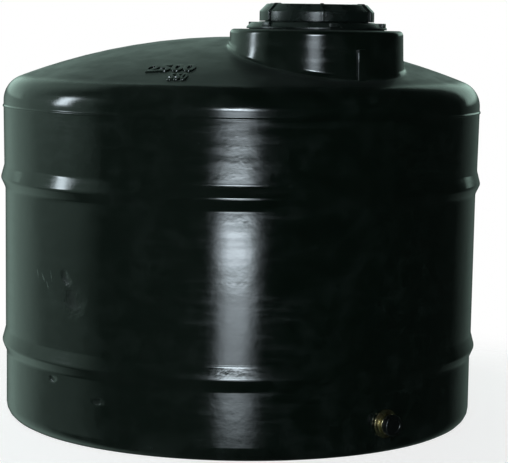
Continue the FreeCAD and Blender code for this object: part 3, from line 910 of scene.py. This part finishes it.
class WATERTANK_OT_outlet(bpy.types.Operator):
    """Make the outlet: flat pad, brass flange and hub, threaded pipe and black plug"""

    bl_idname = "water_tank.outlet"
    bl_label = "Outlet"

    def execute(self, context):
        size = context.scene.water_tank_outlet
        pad = lathe("outlet_pad", [
            (0, 0, 0), (size.pad_radius, 0, 0.0014), (size.pad_radius + size.pad_spread, -size.pad_root, 0),
        ], size.segments, closed=False)
        finish_piece(lay_outwards(pad), "tank", "polyethylene", moulded_finish())
        finish_piece(lay_outwards(self.union(size)), "tank", "brass", brass_finish(), "outlet_flange")
        finish_piece(lay_outwards(self.pipe(size)), "tank", "brass", brass_finish(), "outlet_tube")
        finish_piece(lay_outwards(self.plug(size)), "tank", "black_plastic", plug_finish(), "outlet_cap")
        return {"FINISHED"}

    def union(self, size):
        """Flange and hub turned from one piece, with notches in the flange's rim for a spanner."""
        bore = size.pipe_radius + size.play
        face = size.seal + size.flange
        end = face + size.hub_length
        union = lathe("outlet_union", [
            (bore, face, 0), (bore, size.seal, 0.0004), (size.flange_radius, size.seal, 0.0010),
            (size.flange_radius, face, 0.0016), (size.hub_radius + 0.0015, face + 0.0005, 0.0015),
            (size.hub_radius, face + 0.003, 0.0010), (size.hub_radius, end, 0.0018), (bore, end, 0.0010),
            (bore, face + 0.010, 0),
        ], size.segments, steps=4)
        reach = size.flange_radius + size.notch_out
        for index in range(size.notches):
            angle = TURN * (index + 0.5) / size.notches
            place = (reach * math.cos(angle), reach * math.sin(angle), size.seal + size.flange / 2)
            cut_away(union, rod("notch", size.notch_radius, 3 * size.flange, place, sides=32))
        return union

    def pipe(self, size):
        """Pipe with a thread all along it."""
        root = size.pipe_radius - size.thread - size.play
        bore = size.pipe_bore
        inner_end = size.play - size.pipe_inside
        outer_end = size.pipe_outside - size.play
        start = -0.030
        pipe = lathe("outlet_pipe", [
            (bore, start, 0), (bore, inner_end, 0.0010), (root, inner_end, 0.0012),
            (root, outer_end, 0.0012), (bore, outer_end, 0.0010), (bore, 0, 0),
        ], segments=72, steps=3)
        turns = int((size.pipe_inside + size.pipe_outside - 2 * size.thread_end) / size.pitch)
        foot = Vector((0, 0, size.thread_end - size.pipe_inside))
        ridge = thread("pipe_thread", foot, root, size.pitch, turns, size.thread, segments=40)
        return join("outlet_pipe", pipe, ridge)

    def plug(self, size):
        """Hollow black plug with a dished end and fine grip ribs round it."""
        foot = size.pipe_outside + size.plug_gap + size.plug_top - size.plug_length
        end = foot + size.plug_length
        roof = end - size.plug_top
        dish = end - size.dish_depth
        bore = size.pipe_radius + 2 * size.play
        wall = size.plug_radius - size.rib_height
        plug = lathe("outlet_plug", [
            (0, roof, 0), (bore, roof, 0.0008), (bore, foot, 0.0006), (wall, foot, 0.0010),
            (wall, end, 0.0040), (size.dish_radius, end, 0.0015),
            (size.dish_radius - size.dish_depth, dish, 0.0015), (0, dish, 0),
        ], segments=120, closed=False)
        tidy_faces(plug)
        if not size.plug_ribs:
            return plug
        place = (wall - size.rib_sunk, 0, foot + size.rib_middle)
        rib = rod("plug_rib", size.rib_radius, size.rib_length, place, sides=8)
        round_edges(rib, size.rib_round, segments=2)
        return join("outlet_plug", plug, *copies_round(tidy_faces(rib), ORIGIN, size.plug_ribs))


# Finishes


class Graph:
    """Adds shader nodes to a tree from left to right and wires them."""

    def __init__(self, tree):
        self.tree = tree

    def wire(self, node, inputs):
        """Set or wire inputs, given by index or name as values or as sockets."""
        for key, value in inputs.items():
            if isinstance(value, bpy.types.NodeSocket):
                self.tree.links.new(value, node.inputs[key])
            else:
                node.inputs[key].default_value = value

    def add(self, kind, inputs=None, **settings):
        """A node with its settings and inputs."""
        made = self.tree.nodes.new(kind)
        row, column = divmod(len(self.tree.nodes), 12)
        made.location = (190 * column, -260 * row)
        for key, value in settings.items():
            setattr(made, key, value)
        self.wire(made, inputs or {})
        return made

    def chain(self, kind, first, *others):
        """One kind of arithmetic, worked through the values in turn."""
        for value in others:
            first = self.add("ShaderNodeMath", {0: first, 1: value}, operation=kind).outputs[0]
        return first

    def times(self, *values):
        return self.chain("MULTIPLY", *values)

    def most(self, *values):
        return self.chain("MAXIMUM", *values)

    def gather(self, total, *shares):
        """Add to a total the share that each value is given with."""
        for value, share in shares:
            inputs = {0: value, 1: share, 2: total}
            total = self.add("ShaderNodeMath", inputs, operation="MULTIPLY_ADD").outputs[0]
        return total

    def ramp(self, value, low, high, start=0.0, end=1.0):
        """A smooth step: start where the value is low, end where it is high."""
        inputs = {"Value": value, "From Min": low, "From Max": high, "To Min": start, "To Max": end}
        return self.add("ShaderNodeMapRange", inputs, interpolation_type="SMOOTHSTEP").outputs["Result"]

    def noise(self, vector, scale, detail, roughness):
        inputs = {"Vector": vector, "Scale": scale, "Detail": detail, "Roughness": roughness}
        return self.add("ShaderNodeTexNoise", inputs).outputs["Fac"]

    def blend(self, share, first, second):
        """Mix two colours."""
        return self.add("ShaderNodeMix", {0: share, 6: first, 7: second}, data_type="RGBA").outputs[2]

    def vectors(self, kind, first, *second):
        """The outputs of one step of arithmetic with vectors."""
        return self.add("ShaderNodeVectorMath", dict(enumerate((first, *second))), operation=kind).outputs

    def parts(self, vector):
        """The three parts of a vector."""
        return self.add("ShaderNodeSeparateXYZ", {0: vector}).outputs

    def here(self):
        """The place on the piece, which is its place on the whole tank."""
        return self.add("ShaderNodeTexCoord").outputs["Object"]

    def facing_up(self):
        """How far the surface faces up."""
        return self.parts(self.add("ShaderNodeNewGeometry").outputs["Normal"])[2]

    def camera_ray(self):
        return self.add("ShaderNodeLightPath").outputs["Is Camera Ray"]


def paint(colour):
    return (*colour, 1.0)


SURFACE = (("Colour", "Color"), ("Roughness", "Float"), ("Height", "Float"))
DUSTY = (
    ("Base", "Color", (0.01, 0.01, 0.01, 1)),
    ("Dust", "Color", (0.2, 0.2, 0.2, 1)),
    ("Gloss", "Float", 0.2),
)


def effect(name, inputs, outputs, build):
    """A node group, made once: build takes its graph and inputs, and gives what each output puts out."""
    group = bpy.data.node_groups.get(name)
    if group is None:
        group = bpy.data.node_groups.new(name, "ShaderNodeTree")
        for label, kind, value in inputs:
            socket = group.interface.new_socket(name=label, in_out="INPUT", socket_type="NodeSocket" + kind)
            socket.default_value = value
        for label, kind in outputs:
            group.interface.new_socket(name=label, in_out="OUTPUT", socket_type="NodeSocket" + kind)
        graph = Graph(group)
        given = graph.add("NodeGroupInput").outputs
        graph.wire(graph.add("NodeGroupOutput"), build(graph, given))
    return group


def spot_effect():
    """Mask of one soft-edged oval mark at a place on the surface, broken up by noise."""
    def build(graph, given):
        where = graph.here()
        offset = graph.vectors("SUBTRACT", where, given["Place"])[0]
        through_wall = (0.6, 0.8, 0.0)
        lean = {"Vector": offset, "Angle": given["Lean"], "Axis": through_wall}
        turned = graph.add("ShaderNodeVectorRotate", lean).outputs[0]
        reach = graph.vectors("LENGTH", graph.vectors("DIVIDE", turned, given["Size"])[0])["Value"]
        grain = graph.chain("SUBTRACT", graph.noise(where, given["Grain"], 4.0, 0.6), 0.5)
        return {"Mask": graph.ramp(graph.gather(reach, (grain, given["Breakup"])), 1.0, 0.0)}

    inputs = (
        ("Place", "Vector", (0, 0, 0)), ("Size", "Vector", (0.01, 0.01, 0.01)), ("Lean", "Float", 0.0),
        ("Breakup", "Float", 0.5), ("Grain", "Float", 60.0),
    )
    return effect("Surface Spot", inputs, [("Mask", "Float")], build)


def around_effect():
    """Coordinates unrolled round the tank: along the wall in metres, height, and distance from the axis."""
    def build(graph, given):
        where = graph.here()
        x, y, z = graph.parts(where)
        wall_radius = 0.82
        heading = graph.chain("ARCTAN2", x, graph.times(y, -1.0))
        reach = graph.vectors("LENGTH", graph.vectors("MULTIPLY", where, (1, 1, 0))[0])["Value"]
        return {"Along": graph.times(heading, wall_radius), "Height": z, "Reach": reach}

    return effect("Unrolled Wall", (), [("Along", "Float"), ("Height", "Float"), ("Reach", "Float")], build)


LIGHT_MARKS = (
    ((0.207, -0.790, 0.282), (0.006, 0.006, 0.006), 0.0, 0.3, 90.0),
    ((0.570, -0.585, 0.262), (0.007, 0.007, 0.005), 0.0, 0.3, 90.0),
    ((-0.223, -0.786, 1.073), (0.010, 0.010, 0.006), 0.0, 0.4, 90.0),
    ((-0.681, -0.452, 0.541), (0.0055, 0.0055, 0.034), 0.62, 1.2, 60.0),
    ((-0.700, -0.424, 0.556), (0.0040, 0.0040, 0.030), 0.30, 1.3, 70.0),
    ((-0.668, -0.473, 0.520), (0.0040, 0.0040, 0.026), 0.40, 1.3, 70.0),
    ((-0.655, -0.490, 0.552), (0.0035, 0.0035, 0.022), 0.25, 1.3, 70.0),
    ((-0.603, -0.553, 0.552), (0.0060, 0.0060, 0.012), 0.20, 0.8, 60.0),
)
DARK_MARKS = (
    ((-0.607, -0.548, 0.550), (0.026, 0.026, 0.050), 0.60, 0.9, 34.0),
    ((-0.585, -0.572, 0.480), (0.062, 0.062, 0.075), 0.45, 1.0, 20.0),
    ((-0.650, -0.495, 0.212), (0.030, 0.030, 0.014), 0.0, 1.1, 40.0),
    ((-0.505, -0.642, 0.165), (0.034, 0.034, 0.016), 0.0, 1.1, 40.0),
)


def mark_mask(graph, marks):
    """Mask of all of a set of marks on the wall, each given by its place, size, lean, breakup and grain."""
    labels = ("Place", "Size", "Lean", "Breakup", "Grain")
    spots = [graph.add("ShaderNodeGroup", node_tree=spot_effect()) for _ in marks]
    for made, mark in zip(spots, marks):
        graph.wire(made, dict(zip(labels, mark)))
    return graph.most(*(made.outputs["Mask"] for made in spots))


def moulding_effect():
    """Colour, roughness and height of the moulded wall: ripples, dust, rub marks, scratches and streaks."""
    def build(graph, given):
        where = graph.here()
        along, height, reach = graph.add("ShaderNodeGroup", node_tree=around_effect()).outputs
        on_top = graph.times(graph.ramp(reach, 0.800, 0.745), graph.ramp(graph.facing_up(), 0.45, 0.9))

        def unrolled(across, upwards, detail, roughness):
            """Noise stretched along or up the wall."""
            place = {0: graph.times(along, across), 1: reach, 2: graph.times(height, upwards)}
            return graph.noise(graph.add("ShaderNodeCombineXYZ", place).outputs[0], 1.0, detail, roughness)

        patches = graph.noise(where, 3.4, 5.0, 0.62)
        blotches = graph.noise(where, 11.0, 4.0, 0.6)
        clouds = graph.noise(where, 17.0, 6.0, 0.70)
        specks = graph.noise(where, 230.0, 2.0, 0.5)
        rubs = unrolled(5.0, 42.0, 4.0, 0.62)
        runs = unrolled(13.0, 2.6, 5.0, 0.65)
        hairs = unrolled(7.0, 260.0, 2.0, 0.5)
        scratches = graph.times(graph.ramp(hairs, 0.66, 0.72), graph.ramp(blotches, 0.54, 0.66))
        light = mark_mask(graph, LIGHT_MARKS)
        dark = mark_mask(graph, DARK_MARKS)

        top_dust = graph.times(on_top, graph.ramp(patches, 0.30, 0.75, 0.02, 0.13))
        rubbed = graph.ramp(patches, 0.42, 0.62, 0.25, 1.0)
        rub_dust = graph.times(graph.ramp(rubs, 0.50, 0.76, 0.0, 0.022), rubbed)
        clouded = graph.ramp(patches, 0.36, 0.60, 0.010, 0.038)
        cloud_dust = graph.times(graph.ramp(clouds, 0.42, 0.70), clouded)
        run_dust = graph.times(graph.ramp(runs, 0.50, 0.80, 0.0, 0.030), graph.ramp(blotches, 0.40, 0.65))
        low_dust = graph.times(graph.ramp(height, 0.12, 0.0), graph.ramp(blotches, 0.38, 0.66, 0.0, 0.07))
        dust = graph.chain("ADD", top_dust, rub_dust, cloud_dust, graph.most(run_dust, low_dust))
        dust = graph.most(dust, graph.ramp(specks, 0.74, 0.77, 0.0, 0.16), graph.times(scratches, 0.07))
        dust = graph.gather(dust, (light, 0.60))
        colour = graph.blend(dust, given["Base"], given["Dust"])
        colour = graph.blend(graph.times(dark, 0.7), colour, paint(colours().bruise))

        rough = graph.chain(
            "ADD", given["Gloss"], graph.ramp(patches, 0.3, 0.7, -0.02, 0.04),
            graph.ramp(rubs, 0.35, 0.72, -0.02, 0.06),
        )
        rough = graph.gather(rough, (dust, 0.45), (on_top, 0.30), (dark, 0.25))

        swell = graph.noise(where, 2.6, 1.0, 0.4)
        dents = graph.noise(where, 8.5, 2.0, 0.5)
        ripple = graph.times(unrolled(3.2, 15.0, 2.0, 0.5), graph.ramp(patches, 0.38, 0.66, 0.25, 1.0))
        mottle = graph.noise(where, 24.0, 3.0, 0.55)
        peel = graph.noise(where, 130.0, 2.0, 0.5)
        depth = graph.gather(
            0.0, (swell, 0.0042), (dents, 0.00050), (ripple, 0.00062), (mottle, 0.00022), (peel, 0.000022),
            (scratches, -0.00003), (dark, -0.0034),
        )
        return {"Colour": colour, "Roughness": rough, "Height": depth}

    return effect("Moulded Wall", DUSTY, SURFACE, build)


def plain_effect():
    """Colour, roughness and height of a small plastic or rubber piece: faint dust, rubbed patches, grain."""
    def build(graph, given):
        where = graph.here()
        patches = graph.noise(where, 14.0, 5.0, 0.6)
        grains = graph.noise(where, 420.0, 2.0, 0.5)
        upward = graph.ramp(graph.facing_up(), 0.2, 0.95, 0.25, 1.0)
        dust = graph.times(graph.ramp(patches, 0.35, 0.72), given["Dustiness"], upward)
        rough = graph.chain("ADD", given["Gloss"], graph.ramp(patches, 0.3, 0.7, -0.03, 0.05))
        return {
            "Colour": graph.blend(dust, given["Base"], given["Dust"]),
            "Roughness": graph.gather(rough, (dust, 0.5)),
            "Height": graph.times(grains, given["Grain"]),
        }

    inputs = (*DUSTY, ("Dustiness", "Float", 0.15), ("Grain", "Float", 0.00003))
    return effect("Small Piece", inputs, SURFACE, build)


def metal_effect():
    """Colour, roughness and height of handled metal: tarnish in patches and fine turning lines."""
    def build(graph, given):
        where = graph.here()
        worn = graph.ramp(graph.noise(where, 36.0, 5.0, 0.62), 0.42, 0.68)
        return {
            "Colour": graph.blend(worn, given["Base"], given["Tarnish"]),
            "Roughness": graph.gather(given["Gloss"], (worn, 0.22)),
            "Height": graph.times(graph.noise(where, 900.0, 2.0, 0.5), 0.00002),
        }

    inputs = (
        ("Base", "Color", (0.5, 0.4, 0.2, 1)),
        ("Tarnish", "Color", (0.15, 0.1, 0.05, 1)),
        ("Gloss", "Float", 0.3),
    )
    return effect("Handled Metal", inputs, SURFACE, build)


def principled(name):
    """A new material, its graph and its shader."""
    material = bpy.data.materials.new(name)
    material.use_nodes = True
    return material, Graph(material.node_tree), material.node_tree.nodes["Principled BSDF"]


def finish(name, group, inputs, **shader_values):
    """A material, made once, whose colour, roughness and bump come from an effect group."""
    material = bpy.data.materials.get(name)
    if material is None:
        material, graph, shader = principled(name)
        source = graph.add("ShaderNodeGroup", inputs, node_tree=group).outputs
        bump = graph.add("ShaderNodeBump", {"Height": source["Height"], "Distance": 1.0, "Strength": 1.0})
        graph.wire(shader, {
            "Base Color": source["Colour"], "Roughness": source["Roughness"],
            "Normal": bump.outputs["Normal"], **shader_values,
        })
    return material


def plastic(name, group, base, gloss, inputs=None, **shader_values):
    """Plastic or rubber with the tank's dust on it."""
    given = {"Base": paint(base), "Dust": paint(colours().dust), "Gloss": gloss, **(inputs or {})}
    return finish(name, group, given, **shader_values)


def metal(name, base, dull, gloss):
    """Metal with dull patches."""
    given = {"Base": paint(base), "Tarnish": paint(dull), "Gloss": gloss}
    return finish(name, metal_effect(), given, Metallic=1.0)


def moulded_finish():
    return plastic("Moulded Polyethylene", moulding_effect(), colours().moulding, 0.095, IOR=1.51)


def fitting_finish():
    film = {"Dustiness": 0.14, "Grain": 0.00003}
    return plastic("Fitting Plastic", plain_effect(), colours().fittings, 0.24, film, IOR=1.49)


def plug_finish():
    film = {"Dustiness": 0.03, "Grain": 0.00004}
    return plastic("Plug Plastic", plain_effect(), colours().plug, 0.30, film)


def rubber_finish():
    film = {"Dustiness": 0.18, "Grain": 0.00006}
    return plastic("Seal Rubber", plain_effect(), colours().rubber, 0.62, film)


def brass_finish():
    return metal("Outlet Brass", colours().brass, colours().tarnish, 0.19)


def screw_finish():
    return metal("Screw Steel", colours().steel, colours().grime, 0.34)


class WATERTANK_OT_finishes(bpy.types.Operator):
    """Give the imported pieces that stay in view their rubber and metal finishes"""

    bl_idname = "water_tank.finishes"
    bl_label = "Seal And Nut Finishes"

    def execute(self, context):
        for name in ("neck_gasket", "lid_seal", "outlet_outer_seal", "outlet_inner_seal"):
            dress(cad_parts[name], rubber_finish())
        dress(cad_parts["outlet_back_nut"], brass_finish())
        return {"FINISHED"}


# Stage


def emitter(name, place, face, size, strength, soft, profile):
    """A glowing panel that the camera doesn't see.

    For across and for up, soft gives how far in the edge fades and how steeply. Profile gives the panel's
    brightness at stops from its foot, 0, to its top, 1.
    """
    clear()
    bpy.ops.mesh.primitive_plane_add(size=1, location=ORIGIN)
    panel = named(name)
    panel.scale = (*size, 1)
    panel.rotation_euler = Vector(face).to_track_quat("Z", "Y").to_euler()
    panel.location = place
    panel.visible_camera = False
    material = bpy.data.materials.new(name)
    material.use_nodes = True
    material.node_tree.nodes.clear()
    graph = Graph(material.node_tree)
    spread = graph.parts(graph.here())
    upwards = graph.add("ShaderNodeValToRGB", {0: graph.chain("ADD", spread[1], 0.5)})
    upwards.color_ramp.interpolation = "EASE"
    stops = upwards.color_ramp.elements
    for index, (height, share) in enumerate(profile):
        stop = stops[index] if index < 2 else stops.new(height)
        stop.position = height
        stop.color = (share, share, share, 1)
    power = graph.times(upwards.outputs["Color"], strength)
    for axis, (edge, narrowing) in enumerate(soft):
        off_middle = graph.add("ShaderNodeMath", {0: spread[axis]}, operation="ABSOLUTE").outputs[0]
        power = graph.times(power, graph.chain("POWER", graph.ramp(off_middle, 0.5, 0.5 - edge), narrowing))
    front = graph.chain("SUBTRACT", 1.0, graph.add("ShaderNodeNewGeometry").outputs["Backfacing"])
    light = {"Color": paint(colours().panels), "Strength": graph.times(power, front)}
    glow = graph.add("ShaderNodeEmission", light)
    through = graph.add("ShaderNodeBsdfTransparent")
    both = graph.add("ShaderNodeAddShader", {0: glow.outputs[0], 1: through.outputs[0]})
    graph.add("ShaderNodeOutputMaterial", {"Surface": both.outputs[0]})
    dress(panel, material)
    panel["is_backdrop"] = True


def studio_world():
    """White to the camera; to the gloss a sky that ends overhead, and dark in front and on the right."""
    world = bpy.data.worlds.new("Studio")
    bpy.context.scene.world = world
    world.use_nodes = True
    world.node_tree.nodes.clear()
    graph = Graph(world.node_tree)
    across, deep, up = graph.parts(graph.add("ShaderNodeTexCoord").outputs["Generated"])
    fade = graph.gather(graph.ramp(up, 0.10, 0.56, 1.00, 0.52), (graph.ramp(up, 0.56, 0.64), 0.22))
    behind = graph.ramp(graph.gather(deep, (up, -0.10)), 0.60, 0.72)
    sky = graph.times(fade, behind, graph.ramp(up, 0.71, 0.65), graph.ramp(up, 0.0, 0.12))
    left = graph.times(
        graph.ramp(across, -0.45, -0.95), graph.ramp(deep, -0.44, 0.06, 0.0, 0.60),
        graph.ramp(up, 0.62, 0.34, 0.35, 1.0), graph.ramp(up, -0.18, 0.02, 0.58, 1.0),
        graph.ramp(up, -0.60, -0.28, 0.06, 1.0),
    )
    back_left = graph.times(
        graph.ramp(across, 0.0, -0.55), graph.ramp(deep, 0.0, 0.7, 0.0, 0.6), graph.ramp(up, 0.86, 0.74),
    )
    back_right = graph.times(graph.ramp(across, 0.1, 0.5), graph.ramp(deep, 0.40, 0.95, 0.0, 0.17))
    all_round = graph.ramp(across, 0.10, -0.30, 0.02, 0.085)
    strength = graph.most(sky, left, back_left, back_right, all_round)
    room = graph.add("ShaderNodeBackground", {"Color": paint(colours().room), "Strength": strength})
    white = graph.add("ShaderNodeBackground", {"Color": (1, 1, 1, 1), "Strength": 1.0})
    both = graph.add("ShaderNodeMixShader", {0: graph.camera_ray(), 1: room.outputs[0], 2: white.outputs[0]})
    graph.add("ShaderNodeOutputWorld", {"Surface": both.outputs[0]})


def studio_floor():
    """A pale round floor that keeps a soft shadow, fades into the white and leaves the wall's gloss dark."""
    radius = 2.3
    solid_to, gone_from = 1.1, 2.2
    just_under = (0, 0, -0.0005)
    clear()
    bpy.ops.mesh.primitive_circle_add(vertices=128, radius=radius, fill_type="NGON", location=just_under)
    floor = named("floor")
    floor.visible_glossy = False
    material, graph, shader = principled("Studio Floor")
    where = graph.here()
    grain = graph.ramp(graph.noise(where, 30.0, 3.0, 0.5), 0.3, 0.7)
    graph.wire(shader, {
        "Base Color": graph.blend(grain, paint(colours().floor), paint(colours().floor_grain)),
        "Alpha": graph.ramp(graph.vectors("LENGTH", where)["Value"], gone_from, solid_to),
        "Emission Strength": graph.times(graph.camera_ray(), 0.80),
        "Emission Color": (1, 1, 1, 1),
        "Roughness": 0.9,
    })
    dress(floor, material)
    floor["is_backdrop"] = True


class WATERTANK_OT_stage(bpy.types.Operator):
    """Set the floor, the soft lights, the white surround and the camera"""

    bl_idname = "water_tank.stage"
    bl_label = "Stage"

    def execute(self, context):
        studio_world()
        studio_floor()
        emitter(
            "key_panel", place=(-1.08, -8.5, 0.8), face=(0, 1, 0), size=(6.6, 7.2), strength=12.0,
            soft=((0.45, 5.2), (0.04, 1.0)), profile=(
                (0.10, 0.0), (0.145, 0.05), (0.165, 0.19), (0.19, 0.32), (0.245, 0.42), (0.275, 0.50),
                (0.30, 0.42), (0.325, 1.25), (0.375, 1.55), (0.392, 0.60), (0.405, 0.08), (0.445, 0.08),
                (0.462, 0.60), (0.485, 0.50), (0.56, 0.62), (0.60, 0.30), (0.68, 0.30), (0.71, 3.2),
                (0.78, 3.2), (0.82, 0.0),
            ),
        )
        emitter(
            "window_panel", place=(-4.5, 0.10, 2.15), face=(1, 0, 0), size=(1.15, 2.3), strength=15.5,
            soft=((0.45, 1.4), (0.22, 1.0)), profile=((0.0, 0.6), (0.3, 0.9), (0.7, 1.0), (1.0, 1.0)),
        )
        self.add_camera(context)
        settings = context.scene.view_settings
        settings.view_transform = "Standard"
        settings.look = "None"
        return {"FINISHED"}

    def add_camera(self, context):
        """The photograph's viewpoint."""
        pan = -0.0961
        tilt = 0.11127
        roll = 0.01598
        clear()
        bpy.ops.object.camera_add()
        camera = bpy.context.active_object
        camera.name = "photo_camera"
        level = Matrix.Rotation(pan, 3, "Z") @ Matrix.Rotation(TURN / 4 - tilt, 3, "X")
        camera.rotation_euler = (level @ Matrix.Rotation(roll, 3, "Z")).to_euler()
        camera.location = (-0.57991, -6.52899, 1.37445)
        camera.data.sensor_width = 36.0
        camera.data.lens = 132.87
        camera.data.clip_end = 100.0
        context.scene.camera = camera


# Panel and registration


OPERATORS = (
    WATERTANK_OT_moulding,
    WATERTANK_OT_drum_strip,
    WATERTANK_OT_capacity_figures,
    WATERTANK_OT_neck,
    WATERTANK_OT_lid,
    WATERTANK_OT_outlet,
    WATERTANK_OT_finishes,
    WATERTANK_OT_stage,
)


GROUPS = {
    "water_tank_sizes": TankSizes,
    "water_tank_trim": TrimSizes,
    "water_tank_manway": ManwaySizes,
    "water_tank_outlet": OutletSizes,
    "water_tank_colours": TankColours,
}


class WATERTANK_PT_panel(bpy.types.Panel):
    """Sizes, colours and building steps of the water tank"""

    bl_idname = "WATERTANK_PT_panel"
    bl_label = "Water Tank"
    bl_space_type = "VIEW_3D"
    bl_region_type = "UI"
    bl_category = "Water Tank"

    def draw(self, context):
        layout = self.layout
        for operator in OPERATORS:
            layout.operator(operator.bl_idname)
        for title, kind in GROUPS.items():
            box = layout.box()
            box.label(text=title.replace("_", " ").title())
            for name in kind.__annotations__:
                box.prop(getattr(context.scene, title), name)


CLASSES = (*GROUPS.values(), *OPERATORS, WATERTANK_PT_panel)


def register():
    for item in CLASSES:
        bpy.utils.register_class(item)
    for name, group in GROUPS.items():
        setattr(bpy.types.Scene, name, PointerProperty(type=group))


def unregister():
    for name in GROUPS:
        delattr(bpy.types.Scene, name)
    for item in reversed(CLASSES):
        bpy.utils.unregister_class(item)


def plain(bounds):
    """Bounds as plain lists of numbers."""
    if isinstance(bounds, dict):
        return {key: plain(value) for key, value in bounds.items()}
    if isinstance(bounds, (int, float, str)):
        return bounds
    return [plain(value) for value in bounds]


def main():
    register()
    bpy.ops.water_tank.moulding()
    bpy.ops.water_tank.drum_strip()
    bpy.ops.water_tank.capacity_figures()
    bpy.ops.water_tank.neck()
    bpy.ops.water_tank.lid()
    bpy.ops.water_tank.outlet()
    bpy.ops.water_tank.finishes()
    bpy.ops.water_tank.stage()
    clear()
    {"cad": plain(CAD_BOX), "visual": plain(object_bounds())}


if __name__ == "__main__":
    main()
